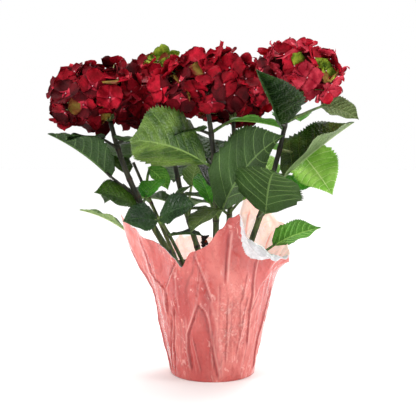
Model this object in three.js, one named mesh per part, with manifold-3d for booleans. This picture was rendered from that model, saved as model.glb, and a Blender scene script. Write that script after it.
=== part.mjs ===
// A potted hydrangea with five red mophead blooms, in a flared film cover.
// Millimetres, +Z up. The origin is the centre of the cover's flat underside and -Y is the front.
// A turn is an angle round the upright axis from +X towards +Y, and a rise is an angle above level.

import * as THREE from 'three'
import { mergeVertices } from 'three/addons/utils/BufferGeometryUtils.js'
import Module from 'manifold-3d'

const wasm = await Module()
wasm.setup()

// ---------------------------------------------------------------- driving dimensions

const SEAT_GAP = 0.3
const SLIVER = 0.1
const BLOOM_GAP = 0.04

const COVER = {
  footRadius: 58,
  wall: 1.2,
  floor: 1.2,
  slant: 0.21,
  swell: 0.2,
  waistHeight: 118,
  pleats: 17,
  pleatDepth: 1.1,
  segments: 60,
  wallSteps: 2,
  flareSteps: 5,
}

// The cover's upper edge, point by point round the pot: where it is, how far out it reaches,
// how high it stands, how far above the waist the film climbs before it turns out, and how much
// of its reach it has by then.
const COVER_EDGE = [
  { turn: -67, reach: 92, height: 225, climb: 74 },
  { turn: -64, reach: 101, height: 188, climb: 104 },
  { turn: -58, reach: 111, height: 171, climb: 104 },
  { turn: -46, reach: 116, height: 166, climb: 78 },
  { turn: -36, reach: 119, height: 168, climb: 48 },
  { turn: -14, reach: 103, height: 156, climb: 24 },
  { turn: 12, reach: 108, height: 170, climb: 34 },
  { turn: 36, reach: 133, height: 193, climb: 44 },
  { turn: 52, reach: 124, height: 214, climb: 62 },
  { turn: 66, reach: 120, height: 236, climb: 78 },
  { turn: 72, reach: 108, height: 176, climb: 40 },
  { turn: 92, reach: 104, height: 170, climb: 34 },
  { turn: 112, reach: 112, height: 176, climb: 36 },
  { turn: 130, reach: 103, height: 164, climb: 30 },
  { turn: 152, reach: 113, height: 173, climb: 36 },
  { turn: 168, reach: 114, height: 180, climb: 30, swell: 0.5 },
  { turn: 185, reach: 125, height: 221, climb: 40, swell: 0.76 },
  { turn: 203, reach: 112, height: 201, climb: 44, swell: 0.5 },
  { turn: 219, reach: 100, height: 187, climb: 44, swell: 0.3 },
  { turn: 235, reach: 94, height: 175, climb: 38 },
  { turn: 242, reach: 89, height: 154, climb: 24 },
  { turn: 251, reach: 88, height: 175, climb: 38 },
  { turn: 265, reach: 87, height: 186, climb: 46 },
  { turn: 275, reach: 87, height: 204, climb: 58 },
  { turn: 284, reach: 88, height: 220, climb: 70 },
]

const POT = {
  footRadius: 55,
  rimRadius: 77,
  height: 143,
  wall: 1.4,
  floor: 2,
  rollHeight: 12,
  rollReach: 2.2,
  segments: 28,
}

const SOIL_LEVEL = 129

const STEM_SIDES = 7
const TWIG_SIDES = 3

const LEAF = {
  width: 0.66,
  thickness: 1.4,
  fold: 14,
  droop: 30,
  stalkRadius: 1.7,
  ribShare: 0.1,
}

// Each shoot: its foot on the soil, the two points that bend it, its top, its thickness there
// and the height where its bare limb ends and its leafy part starts.
// Each leaf: the height of its joint, the stalk, then the blade's turn, rise and size.
const SHOOTS = [
  {
    name: 'left',
    foot: [-36, -20],
    bend: [-75, -24, 195],
    reach: [-112, -30, 255],
    top: [-130, -28, 325],
    girth: [9, 6.4],
    bare: 212,
    leaves: [
      { joint: 226, stalk: [8, 225, 0], turn: 215, rise: 36, size: 72, width: 0.8, roll: -35 },
      { joint: 232, stalk: [14, 70, 30], turn: 66, rise: 46, size: 54, droop: 40 },
      { joint: 242, stalk: [44, 184, 37], turn: 217, rise: 43, size: 108, width: 0.62, roll: 2,
        fold: 32, droop: 21 },
      { joint: 266, stalk: [20, 104, 16], turn: 128, rise: 40, size: 50, droop: 20 },
      { joint: 306, stalk: [24, 211, 34], turn: 228, rise: 4, size: 64, droop: 14 },
      { joint: 314, stalk: [14, 307, 8], turn: 303, rise: 8, size: 62, droop: 12 },
      { joint: 304, stalk: [30, 100, 10], turn: 92, rise: 0, size: 92, droop: 40 },
    ],
  },
  {
    name: 'centre',
    foot: [2, -30],
    bend: [6, -36, 195],
    reach: [6, -48, 275],
    top: [-4, -50, 342],
    girth: [9, 6.2],
    bare: 200,
    leaves: [
      { joint: 213, stalk: [17, 304, 45], turn: 28, rise: 67, size: 140, width: 0.75,
        roll: -63, droop: 42 },
      { joint: 219, stalk: [19, 299, 32], turn: 225, rise: -5, size: 64, droop: 40 },
      { joint: 216, stalk: [20, 147, 66], turn: 119, rise: 60, size: 54 },
      { joint: 256, stalk: [12, 148, 21], turn: 136, rise: 60, size: 60, roll: 20 },
      { joint: 281, stalk: [23, 241, 17], turn: 229, rise: 26, size: 140, width: 0.7,
        roll: -118, fold: -40, droop: 26 },
      { joint: 284, stalk: [20, 110, 14], turn: 112, rise: 50, size: 58, droop: 20 },
      { joint: 325, stalk: [14, 213, 20], turn: 237, rise: 6, size: 64, droop: 24 },
      { joint: 327, stalk: [33, 32, 30], turn: 14, rise: 2, size: 74, droop: 20 },
    ],
  },
  {
    name: 'right',
    foot: [38, 18],
    bend: [58, 19, 190],
    reach: [88, 21, 270],
    top: [101, 22, 345],
    girth: [9, 6.2],
    bare: 176,
    leaves: [
      { joint: 250, stalk: [20, 60, 40], turn: 120, rise: 50, size: 60 },
      { joint: 210, stalk: [65, 274, 10], turn: 275, rise: 76, size: 98, width: 0.89,
        roll: -27, fold: 2, droop: 73 },
      { joint: 268, stalk: [20, 68, 3], turn: 348, rise: -2, size: 66, roll: 18, fold: -29, droop: 11 },
      { joint: 272, stalk: [16, 333, -21], turn: 10, rise: 41, size: 126, width: 0.87, roll: 4,
        fold: 26, droop: 8 },
      { joint: 304, stalk: [48, 42, -9], turn: 300, rise: -33, size: 87, width: 0.83, roll: 38,
        fold: 29, droop: 9 },
      { joint: 336, stalk: [63, 258, 1], turn: 248, rise: 44, size: 118, width: 0.71, roll: -120,
        fold: 58, droop: 19 },
      { joint: 338, stalk: [19, 90, 17], turn: 67, rise: 15, size: 82 },
      { joint: 341, stalk: [64, 30, 22], turn: 6, rise: -4, size: 60, roll: -36 },
    ],
  },
  {
    name: 'back_left',
    foot: [-10, 40],
    bend: [-28, 46, 190],
    reach: [-54, 58, 255],
    top: [-60, 66, 335],
    girth: [8.4, 6],
    bare: 186,
    leaves: [
      { joint: 202, stalk: [24, 270, 54], turn: 334, rise: 6, size: 40 },
      { joint: 206, stalk: [37, 221, 66], turn: 337, rise: 9, size: 44 },
      { joint: 214, stalk: [38, 53, 73], turn: 71, rise: 64, size: 50 },
      { joint: 212, stalk: [30, 150, 30], turn: 150, rise: 20, size: 84, droop: 50 },
      { joint: 262, stalk: [30, 95, 25], turn: 95, rise: 10, size: 104, droop: 50 },
      { joint: 300, stalk: [34, 145, 20], turn: 145, rise: 0, size: 104, droop: 45 },
      { joint: 304, stalk: [30, 55, 20], turn: 58, rise: 0, size: 84, droop: 45 },
    ],
  },
  {
    name: 'back_right',
    foot: [18, 50],
    bend: [22, 62, 195],
    reach: [34, 95, 270],
    top: [32, 112, 326],
    girth: [8.4, 6],
    bare: 190,
    leaves: [
      { joint: 208, stalk: [24, 130, 25], turn: 125, rise: 20, size: 84, droop: 50 },
      { joint: 212, stalk: [20, 310, 40], turn: 310, rise: 40, size: 44 },
      { joint: 256, stalk: [30, 80, 20], turn: 80, rise: 5, size: 108, droop: 45 },
      { joint: 300, stalk: [30, 12, 15], turn: 14, rise: 0, size: 100, droop: 45 },
      { joint: 302, stalk: [30, 110, 20], turn: 108, rise: 0, size: 100, droop: 45 },
    ],
  },
  {
    name: 'side',
    foot: [-42, 22],
    bend: [-62, 26, 180],
    reach: [-86, 30, 230],
    top: [-110, 34, 286],
    girth: [6, 4],
    bare: 145,
    leaves: [
      { joint: 154, stalk: [81, 164, 26], turn: 191, rise: 38, size: 72, droop: 26 },
      { joint: 208, stalk: [15, 300, 14], turn: 6, rise: 62, size: 60 },
      { joint: 246, stalk: [34, 72, 76], turn: 14, rise: -31, size: 44, droop: 36, roll: -46 },
      { joint: 230, stalk: [30, 130, 20], turn: 135, rise: 10, size: 84, droop: 45 },
    ],
  },
  {
    name: 'low_front',
    foot: [-26, -40],
    bend: [-37, -42, 152],
    reach: [-50, -46, 185],
    top: [-67, -50, 212],
    girth: [5.6, 4],
    bare: 186,
    leaves: [
      { joint: 195, stalk: [6, 300, 0], turn: 333, rise: 12, size: 46, droop: 20 },
      { joint: 209, stalk: [10, 225, 30], turn: 214, rise: 17, size: 52, width: 0.74, roll: -58 },
      { joint: 210, stalk: [10, 250, 34], turn: 330, rise: 36, size: 58, width: 0.8, roll: 50 },
    ],
  },
  {
    name: 'low_right',
    foot: [46, -14],
    bend: [49, -10, 142],
    reach: [52, -4, 152],
    top: [56, 2, 166],
    girth: [5.6, 4.4],
    bare: 146,
    leaves: [
      { joint: 153, stalk: [40, 28, 28], turn: 346, rise: 34, size: 72, width: 0.7, roll: -40,
        droop: 24 },
    ],
  },
]

const BLOOMS = [
  { name: 'left', centre: [-144, -20, 372], radii: [75, 62, 53], florets: 24 },
  { name: 'centre', centre: [-1, -62, 390], radii: [74, 60, 44], florets: 22 },
  { name: 'right', centre: [115, 30, 409], radii: [63, 58, 46], florets: 20 },
  { name: 'back_left', centre: [-79, 90, 388], radii: [54, 54, 52], florets: 18 },
  { name: 'back_right', centre: [30, 130, 374], radii: [56, 52, 44], florets: 16 },
]

const FLORET = {
  reach: 17,
  reachSpread: 1.5,
  cup: 4,
  height: 9,
  sunk: 4,
  lean: 0.35,
  proud: 5,
  lobes: 4,
  notch: 0.5,
  lowest: -0.8,
  looseness: 0.1,
}

const SPENT = { foot: [-14, -28], top: [-11, -30, 184], radius: 2.2, bud: 4, buds: 4, spread: 3, climb: 2 }

// ---------------------------------------------------------------- helpers

const radians = THREE.MathUtils.degToRad
const vector = ([x, y, z]) => new THREE.Vector3(x, y, z)

// A repeatable sequence of numbers between 0 and 1.
function seeded(seed) {
  const modulus = 2147483647
  let state = seed
  return () => {
    state = (state * 16807) % modulus
    return state / modulus
  }
}

function heading(turn, rise) {
  const level = Math.cos(radians(rise))
  return new THREE.Vector3(
    level * Math.cos(radians(turn)),
    level * Math.sin(radians(turn)),
    Math.sin(radians(rise)),
  )
}

// Turns a closed geometry into a solid that can be joined and cut.
function solid(geometry) {
  const bare = geometry.index ? geometry.toNonIndexed() : geometry.clone()
  bare.deleteAttribute('normal')
  bare.deleteAttribute('uv')
  const merged = mergeVertices(bare, 1e-4)
  const index = merged.index.array
  const corners = []
  for (let i = 0; i < index.length; i += 3) {
    const [a, b, c] = [index[i], index[i + 1], index[i + 2]]
    if (a !== b && b !== c && c !== a) corners.push(a, b, c)
  }
  const mesh = new wasm.Mesh({
    numProp: 3,
    vertProperties: new Float32Array(merged.attributes.position.array),
    triVerts: new Uint32Array(corners),
  })
  return new wasm.Manifold(mesh)
}

function join(solids) {
  return wasm.Manifold.union(solids)
}

function finish(color, roughness, metalness = 0) {
  return new THREE.MeshStandardMaterial({ color, roughness, metalness })
}

// The largest single body of a joined solid, as a named mesh.
function part(name, shape, material) {
  const bodies = shape.simplify(SLIVER).decompose().sort((a, b) => b.volume() - a.volume())
  const { vertProperties, triVerts } = bodies[0].getMesh()
  const geometry = new THREE.BufferGeometry()
  geometry.setAttribute('position', new THREE.BufferAttribute(vertProperties, 3))
  geometry.setIndex(new THREE.BufferAttribute(triVerts, 1))
  const mesh = new THREE.Mesh(geometry, material)
  mesh.name = name
  return mesh
}

// Moves every vertex of a geometry to the place that a function gives for it.
function reshape(geometry, place) {
  const position = geometry.attributes.position
  const from = new THREE.Vector3()
  for (let i = 0; i < position.count; i += 1) {
    from.fromBufferAttribute(position, i)
    const to = place(from, i)
    position.setXYZ(i, to.x, to.y, to.z)
  }
  return geometry
}

// A tapering limb along a stretch of a curve, made by bending a cylinder.
function limb(curve, from, to, radiusAt, sides, steps) {
  const cylinder = new THREE.CylinderGeometry(1, 1, 1, sides, steps)
  const forward = new THREE.Vector3(0, 1, 0)
  return solid(reshape(cylinder, (point) => {
    const along = from + (to - from) * (point.y + 0.5)
    const tangent = curve.getTangent(along)
    const across = forward.clone().cross(tangent).normalize()
    const over = tangent.clone().cross(across)
    const radius = radiusAt(along)
    return curve.getPoint(along)
      .addScaledVector(across, radius * point.x)
      .addScaledVector(over, -radius * point.z)
  }))
}

// The share of a climbing curve's length parameter at which it reaches a height.
function reachesHeight(curve, height) {
  let low = 0
  let high = 1
  for (let i = 0; i < 30; i += 1) {
    const middle = (low + high) / 2
    if (curve.getPoint(middle).z < height) low = middle
    else high = middle
  }
  return (low + high) / 2
}

// ---------------------------------------------------------------- pot, soil and cover

function potRadius(height) {
  return POT.footRadius + (POT.rimRadius - POT.footRadius) * (height / POT.height)
}

// The solid swept by turning an outline of radii and heights about the upright axis.
function turned(profile, segments) {
  const lathe = new THREE.LatheGeometry(profile.map(([r, h]) => new THREE.Vector2(r, h)), segments)
  return solid(lathe.rotateX(Math.PI / 2))
}

function makePot() {
  const base = COVER.floor + SEAT_GAP
  const top = base + POT.height
  const roll = top - POT.rollHeight
  const profile = [
    [0, base],
    [POT.footRadius, base],
    [potRadius(roll - base), roll],
    [potRadius(roll - base) + POT.rollReach, roll],
    [POT.rimRadius + POT.rollReach, top],
    [POT.rimRadius - POT.wall, top],
    [POT.footRadius - POT.wall, base + POT.floor],
    [0, base + POT.floor],
  ]
  return turned(profile, POT.segments)
}

function makeSoil() {
  const base = COVER.floor + SEAT_GAP
  const bottom = base + POT.floor + SEAT_GAP
  const slope = (POT.rimRadius - POT.footRadius) / (POT.height - POT.floor)
  const inside = POT.footRadius - POT.wall - SEAT_GAP * 2
  const inner = (height) => inside + (height - base - POT.floor) * slope
  const profile = [
    [0, bottom],
    [inner(bottom), bottom],
    [inner(SOIL_LEVEL), SOIL_LEVEL],
    [0, SOIL_LEVEL],
  ]
  return turned(profile, POT.segments)
}

// The cover's edge at any turn, between its named points.
function coverEdge(turn) {
  const first = COVER_EDGE[0]
  const from = first.turn
  const wrapped = from + ((((turn - from) % 360) + 360) % 360)
  const closed = [...COVER_EDGE, { ...first, turn: first.turn + 360 }]
  const next = closed.findIndex((point) => point.turn > wrapped)
  const a = closed[next - 1]
  const b = closed[next]
  const share = (wrapped - a.turn) / (b.turn - a.turn)
  const value = (point, key) => point[key] ?? COVER.swell
  const blend = (key) => value(a, key) + (value(b, key) - value(a, key)) * share
  return { reach: blend('reach'), height: blend('height'), climb: blend('climb'), swell: blend('swell') }
}

// A point of the cover's outer face: up the wall for half of the way, then out to the edge.
function coverPoint(turn, way) {
  const wallRadius = (height) => COVER.footRadius + COVER.slant * height
  const waist = wallRadius(COVER.waistHeight)
  const edge = coverEdge(turn)
  const pleat = Math.cos(radians(turn * COVER.pleats)) * COVER.pleatDepth * way
  if (way <= 0.5) {
    const height = COVER.waistHeight * way * 2
    return { radius: wallRadius(height) + pleat, height }
  }
  const flare = new THREE.QuadraticBezierCurve(
    new THREE.Vector2(waist, COVER.waistHeight),
    new THREE.Vector2(waist + edge.swell * (edge.reach - waist), COVER.waistHeight + edge.climb),
    new THREE.Vector2(edge.reach, edge.height),
  )
  const { x, y } = flare.getPoint(way * 2 - 1)
  return { radius: x + pleat, height: y }
}

function makeCover() {
  const steps = COVER.wallSteps + COVER.flareSteps
  const ways = []
  for (let i = 0; i <= steps; i += 1) {
    const flared = i - COVER.wallSteps
    ways.push(flared <= 0 ? (0.5 * i) / COVER.wallSteps : 0.5 + (0.5 * flared) / COVER.flareSteps)
  }
  // The profile runs from the axis out under the floor, up the outer face and down the inner one.
  const stations = [
    { way: 0, side: 'floor under' },
    ...ways.map((way) => ({ way, side: 'outer' })),
    ...ways.map((way) => ({ way, side: 'inner' })).reverse(),
    { way: 0, side: 'floor top' },
  ]
  const profile = stations.map((_, i) => new THREE.Vector2(i + 1, i))
  const lathe = new THREE.LatheGeometry(profile, COVER.segments)
  const shape = reshape(lathe, (_, index) => {
    const station = stations[index % stations.length]
    const ring = Math.floor(index / stations.length) % COVER.segments
    const turn = (360 * ring) / COVER.segments
    if (station.side === 'floor under') return new THREE.Vector3(0, 0, 0)
    if (station.side === 'floor top') return new THREE.Vector3(0, 0, COVER.floor)
    let { radius, height } = coverPoint(turn, station.way)
    if (station.side === 'inner') {
      const delta = 0.02
      const below = coverPoint(turn, Math.max(0, station.way - delta))
      const above = coverPoint(turn, Math.min(1, station.way + delta))
      const run = new THREE.Vector2(above.radius - below.radius, above.height - below.height).normalize()
      radius -= run.y * COVER.wall
      height += run.x * COVER.wall
      if (station.way === 0) height = COVER.floor
    }
    const direction = heading(turn, 0)
    return new THREE.Vector3(direction.x * radius, direction.y * radius, height)
  })
  return solid(shape)
}

// ---------------------------------------------------------------- stems and leaves

function stemCurve(shoot) {
  return new THREE.CubicBezierCurve3(
    new THREE.Vector3(...shoot.foot, SOIL_LEVEL + SEAT_GAP),
    vector(shoot.bend),
    vector(shoot.reach),
    vector(shoot.top),
  )
}

function stemRadius(shoot) {
  const [thick, thin] = shoot.girth
  return (along) => (thick + (thin - thick) * along) / 2
}

function makeStem(shoot) {
  const curve = stemCurve(shoot)
  const end = reachesHeight(curve, shoot.bare)
  const uncut = limb(curve, -0.05, end, stemRadius(shoot), STEM_SIDES, 5)
  return uncut.trimByPlane([0, 0, 1], SOIL_LEVEL + SEAT_GAP)
}

// The midrib of a blade: a line that bends down evenly from its first rise.
function midrib(leaf, root, share) {
  const rise = radians(leaf.rise)
  const bend = radians(leaf.droop ?? LEAF.droop)
  const now = rise - bend * share
  const out = (leaf.size * (Math.sin(rise) - Math.sin(now))) / bend
  const up = (leaf.size * (Math.cos(now) - Math.cos(rise))) / bend
  const level = heading(leaf.turn, 0)
  return {
    point: root.clone().addScaledVector(level, out).add(new THREE.Vector3(0, 0, up)),
    ahead: heading(leaf.turn, THREE.MathUtils.radToDeg(now)),
  }
}

function halfWidth(leaf, share) {
  const ovate = Math.sin(Math.PI * share ** 0.86) ** 0.85
  return 0.5 * leaf.size * (leaf.width ?? LEAF.width) * ovate
}

// A blade, made by flattening a sphere between the leaf's root and its tip.
function makeBlade(leaf, root) {
  const roll = radians(leaf.roll ?? 0)
  const fold = radians(leaf.fold ?? LEAF.fold)
  const sphere = new THREE.SphereGeometry(1, 8, 5)
  const sideways = heading(leaf.turn + 90, 0)
  return solid(reshape(sphere, (point) => {
    const share = Math.acos(THREE.MathUtils.clamp(point.y, -1, 1)) / Math.PI
    const ring = Math.max(Math.sin(share * Math.PI), 1e-6)
    const across = point.x / ring
    const over = point.z / ring
    const { point: centre, ahead } = midrib(leaf, root, share)
    const up = ahead.clone().cross(sideways)
    const side = sideways.clone().multiplyScalar(Math.cos(roll)).addScaledVector(up, Math.sin(roll))
    const normal = up.multiplyScalar(Math.cos(roll)).addScaledVector(sideways, -Math.sin(roll))
    const half = halfWidth(leaf, share)
    const thick = 0.5 * LEAF.thickness * Math.min(1, ring * 3)
    return centre
      .addScaledVector(side, half * across * Math.cos(fold))
      .addScaledVector(normal, half * Math.abs(across) * Math.sin(fold) + over * thick)
  }))
}

function leafStalk(curve, leaf) {
  const joint = curve.getPoint(reachesHeight(curve, leaf.joint))
  const [length, turn, rise] = leaf.stalk
  const root = joint.clone().addScaledVector(heading(turn, rise), length)
  const inner = midrib(leaf, root, LEAF.ribShare).point
  return { joint, root, path: new THREE.QuadraticBezierCurve3(joint, root, inner) }
}

function makeLeaves(shoot) {
  const curve = stemCurve(shoot)
  const start = reachesHeight(curve, shoot.bare + SEAT_GAP)
  const solids = [limb(curve, start, 1, stemRadius(shoot), STEM_SIDES, 6)]
  for (const leaf of shoot.leaves) {
    const { root, path } = leafStalk(curve, leaf)
    solids.push(limb(path, 0, 1, () => LEAF.stalkRadius, TWIG_SIDES, 2))
    solids.push(makeBlade(leaf, root))
  }
  return join(solids)
}

// ---------------------------------------------------------------- blooms

// Whether a point is nearer to its own bloom than to any other, measured in radii.
function keepsToSpace(point, own) {
  const reach = (bloom) => point.clone().sub(vector(bloom.centre)).divide(vector(bloom.radii)).length()
  return BLOOMS.every((bloom) => bloom === own || reach(own) + BLOOM_GAP < reach(bloom))
}

// Places of a bloom's florets: a spiral over an egg shape, open underneath.
function floretPlaces(bloom, random) {
  const golden = Math.PI * (3 - Math.sqrt(5))
  const places = []
  for (let i = 0; i < bloom.florets; i += 1) {
    const level = 1 - (1 - FLORET.lowest) * ((i + 0.5) / bloom.florets)
    const ring = Math.sqrt(1 - level * level)
    const angle = golden * i
    const direction = new THREE.Vector3(ring * Math.cos(angle), ring * Math.sin(angle), level)
    places.push({
      direction,
      lift: 1 - FLORET.looseness * random(),
      reach: FLORET.reach + FLORET.reachSpread * (random() * 2 - 1),
      spin: random() * Math.PI * 2,
      lean: [random() - 0.5, random() - 0.5, random() - 0.5],
    })
  }
  return places
}

// A floret: four broad lobes on a stalk that is sunk in the bloom's core.
function makeFloret(bloom, place) {
  const radii = vector(bloom.radii)
  const sunken = radii.clone().subScalar(FLORET.proud).multiplyScalar(place.lift)
  const centre = vector(bloom.centre).add(place.direction.clone().multiply(sunken))
  const facing = place.direction.clone().divide(radii).normalize()
  facing.addScaledVector(vector(place.lean), FLORET.lean).normalize()
  const middle = centre.clone().addScaledVector(facing, -FLORET.cup)
  const inward = place.direction.clone().multiply(radii).normalize()
  const root = centre.clone().addScaledVector(inward, -FLORET.height - FLORET.cup - FLORET.sunk)
  const helper = Math.abs(facing.z) > 0.9 ? new THREE.Vector3(1, 0, 0) : new THREE.Vector3(0, 0, 1)
  const across = helper.cross(facing).normalize()
  const over = facing.clone().cross(across)
  const rimSteps = FLORET.lobes * 3
  const sphere = new THREE.SphereGeometry(1, rimSteps, 2)
  const rim = []
  const shape = reshape(sphere, (point) => {
    if (point.y > 0.5) return middle
    if (point.y < -0.5) return root
    const angle = Math.atan2(point.z, point.x)
    const step = Math.round((angle / (2 * Math.PI)) * rimSteps)
    const notch = ((step % 3) + 3) % 3 === 0
    const reach = place.reach * (notch ? FLORET.notch : 1)
    const at = middle.clone()
      .addScaledVector(across, reach * Math.cos(angle + place.spin))
      .addScaledVector(over, -reach * Math.sin(angle + place.spin))
      .addScaledVector(facing, notch ? 0 : FLORET.cup)
    rim.push(at)
    return at
  })
  return { shape, rim }
}

function makeBloom(bloom, index) {
  const random = seeded(101 + index * 37)
  const shoot = SHOOTS.find(({ name }) => name === bloom.name)
  const ahead = stemCurve(shoot).getTangent(1)
  const neck = vector(shoot.top).addScaledVector(ahead, SEAT_GAP)
  const above = neck.clone().addScaledVector(ahead, neck.distanceTo(vector(bloom.centre)) / 2)
  const centre = vector(bloom.centre)
  const core = new THREE.SphereGeometry(1, 10, 6)
  core.rotateX(Math.PI / 2)
  core.scale(...bloom.radii.map((radius) => radius - FLORET.proud - FLORET.height - FLORET.cup))
  core.translate(...bloom.centre)
  const stalk = new THREE.QuadraticBezierCurve3(neck, above, centre)
  const solids = [
    solid(core),
    limb(stalk, 0, 0.9, () => shoot.girth[1] / 2, STEM_SIDES, 2),
  ]
  for (const place of floretPlaces(bloom, random)) {
    const { shape, rim } = makeFloret(bloom, place)
    if (rim.every((point) => keepsToSpace(point, bloom))) solids.push(solid(shape))
  }
  return join(solids)
}

// A spent shoot: a bare stub with a knot of dry buds.
function makeSpent() {
  const foot = new THREE.Vector3(...SPENT.foot, SOIL_LEVEL + SEAT_GAP)
  const top = vector(SPENT.top)
  const line = new THREE.LineCurve3(foot, top)
  const solids = [limb(line, 0, 1, () => SPENT.radius, STEM_SIDES, 1)]
  for (let i = 0; i < SPENT.buds; i += 1) {
    const bud = new THREE.SphereGeometry(SPENT.bud, 6, 4)
    const place = top.clone().addScaledVector(heading(i * 120, 0), SPENT.spread)
    bud.translate(place.x, place.y, place.z - 1 + i * SPENT.climb)
    solids.push(solid(bud))
  }
  return join(solids)
}

// ---------------------------------------------------------------- assembly

const plant = new THREE.Group()
plant.name = 'potted_hydrangea'

plant.add(part('pot', makePot(), finish('#5a4038', 0.6)))
plant.add(part('soil', makeSoil(), finish('#2e2119', 0.95)))
plant.add(part('pot_cover', makeCover(), finish('#e08078', 0.35)))
plant.add(part('spent_shoot', makeSpent(), finish('#2a1714', 0.8)))

for (const shoot of SHOOTS) {
  plant.add(part(`stem_${shoot.name}`, makeStem(shoot), finish('#3f4a24', 0.6)))
  plant.add(part(`leaves_${shoot.name}`, makeLeaves(shoot), finish('#2e6b2a', 0.5)))
}

BLOOMS.forEach((bloom, index) => {
  plant.add(part(`bloom_${bloom.name}`, makeBloom(bloom, index), finish('#a3122b', 0.6)))
})

export default plant
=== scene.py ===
import math

import bmesh
import bpy
import numpy as np
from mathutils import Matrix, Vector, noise


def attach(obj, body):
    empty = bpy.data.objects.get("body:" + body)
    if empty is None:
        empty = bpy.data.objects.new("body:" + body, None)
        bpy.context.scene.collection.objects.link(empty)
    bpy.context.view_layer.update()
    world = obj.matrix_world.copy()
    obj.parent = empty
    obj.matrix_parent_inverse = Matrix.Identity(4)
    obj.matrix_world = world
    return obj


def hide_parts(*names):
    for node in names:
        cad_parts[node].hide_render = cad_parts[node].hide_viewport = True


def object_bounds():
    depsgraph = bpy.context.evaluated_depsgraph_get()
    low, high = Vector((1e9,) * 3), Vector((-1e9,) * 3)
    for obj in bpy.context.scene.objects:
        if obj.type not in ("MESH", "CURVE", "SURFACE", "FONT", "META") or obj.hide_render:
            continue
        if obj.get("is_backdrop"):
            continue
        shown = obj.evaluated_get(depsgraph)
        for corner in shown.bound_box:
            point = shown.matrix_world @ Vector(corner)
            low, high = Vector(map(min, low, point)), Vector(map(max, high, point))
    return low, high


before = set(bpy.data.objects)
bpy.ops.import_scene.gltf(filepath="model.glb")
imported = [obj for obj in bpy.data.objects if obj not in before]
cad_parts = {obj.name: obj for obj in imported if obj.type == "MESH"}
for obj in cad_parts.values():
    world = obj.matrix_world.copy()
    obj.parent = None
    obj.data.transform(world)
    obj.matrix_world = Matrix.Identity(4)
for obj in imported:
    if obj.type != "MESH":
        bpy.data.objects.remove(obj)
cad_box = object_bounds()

# A potted hydrangea with five red mophead blooms, in a flared film cover.
# Lengths in the tables are millimetres and turn to metres where a mesh is made. +Z is up, -Y is
# the front. A turn is an angle round the upright axis from +X towards +Y, and a rise is an angle
# above level. Points and directions are numpy arrays whose last axis is x, y, z.

MM = 0.001

# ---------------------------------------------------------------- driving dimensions

# The cover's seam is the turn where its sheet's ends meet. Light comes through its lining from one
# turn round to another. Its crinkled panel is given as middle and half sizes, in turn and height,
# and each of its crumples as a pitch, a climb and a seed.
COVER = {
    "foot_radius": 58, "wall": 0.8, "slant": 0.21, "swell": 0.2, "waist": 118, "floor": 1.2,
    "pleats": 17, "pleat_depth": 1.1, "turns": 400, "steps": 118, "fringe": 1.6,
    "fine_folds": 64, "mean_radius": 85, "seam": -67, "glow_from": 350, "glow_to": 205,
    "panel": (292, 84, 17, 46), "long_crumple": (17, 40, 3), "short_crumple": (8, 13, 7),
}

# The cover's upper edge, point by point round the pot: turn, reach, height, how far above the
# waist the film climbs before it turns out, and how much of its reach it has by then, where that
# isn't the cover's swell.
COVER_EDGE = [
    (-67, 92, 228, 76), (-65.4, 95, 206, 88), (-64, 100, 187, 104), (-58, 111, 171, 104),
    (-46, 116, 166, 78), (-36, 119, 168, 48), (-14, 103, 156, 24), (12, 108, 170, 34),
    (36, 133, 193, 44), (52, 124, 214, 62), (66, 120, 236, 78), (72, 108, 176, 40),
    (92, 104, 170, 34), (112, 112, 176, 36), (130, 103, 164, 30), (152, 113, 173, 36),
    (168, 114, 180, 30, 0.5), (185, 125, 221, 40, 0.76), (203, 112, 201, 44, 0.5),
    (219, 100, 187, 44, 0.3), (235, 94, 175, 38), (242, 89, 154, 24), (251, 88, 175, 38),
    (265, 87, 186, 46), (275, 87, 204, 58), (284, 88, 219, 70),
]

# Folds of the film: the line's points as turn and height, then its depth, its width and its lap.
# A lap of 1 or -1 has one raised side, where an edge of film lies over the next.
FOLDS = [
    ([(256.6, 107), (252, 90), (244, 65), (242.2, 41), (244, 20)], 2.4, 5, -1),
    ([(256.6, 107), (261.9, 98), (264.5, 87), (266.8, 67), (269.2, 47), (275.8, 10)], 2.2, 5, 1),
    ([(260, 150), (263, 118), (272, 71), (277, 8)], -1.5, 9, 0),
    ([(225, 88), (216, 48), (206, 10)], 2.6, 3, 0),
    ([(230.4, 96), (222, 50), (214.7, 10)], 2.4, 3, 0),
    ([(223.2, 120), (219.7, 92)], 2.6, 2.6, -1),
    ([(206, 186), (205.6, 142), (221.9, 122), (221.6, 99)], 2.4, 4, -1),
    ([(238, 163), (223, 126)], 2.6, 3.4, 1),
    ([(309.5, 168), (308, 98), (312, 50)], 1.8, 4, 1),
    ([(338, 160), (318, 126), (310, 96)], 2.4, 4, -1),
    ([(253.9, 172), (262, 140), (268, 114)], 2, 4, 1),
    ([(284, 200), (282, 168), (281, 140)], 1.6, 6, 0),
    ([(338, 120), (332, 60), (335, 12)], 2, 4, 1),
    ([(188, 170), (196, 116), (194, 40), (197, 8)], 2, 4, -1),
    ([(10, 160), (4, 110), (8, 20)], 2.2, 4, 1),
    ([(40, 180), (36, 120), (30, 14)], 2, 4, 0),
    ([(60, 210), (58, 130), (64, 16)], 2.2, 4, -1),
    ([(86, 164), (90, 110), (88, 30)], 2, 4, 1),
    ([(104, 130), (110, 70), (108, 12)], 1.8, 5, 0),
    ([(124, 164), (132, 100), (129, 26)], 2.2, 4, -1),
    ([(150, 160), (146, 90), (152, 14)], 2, 4, 1),
    ([(172, 170), (168, 110), (170, 30)], 1.8, 5, 0),
]

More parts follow.
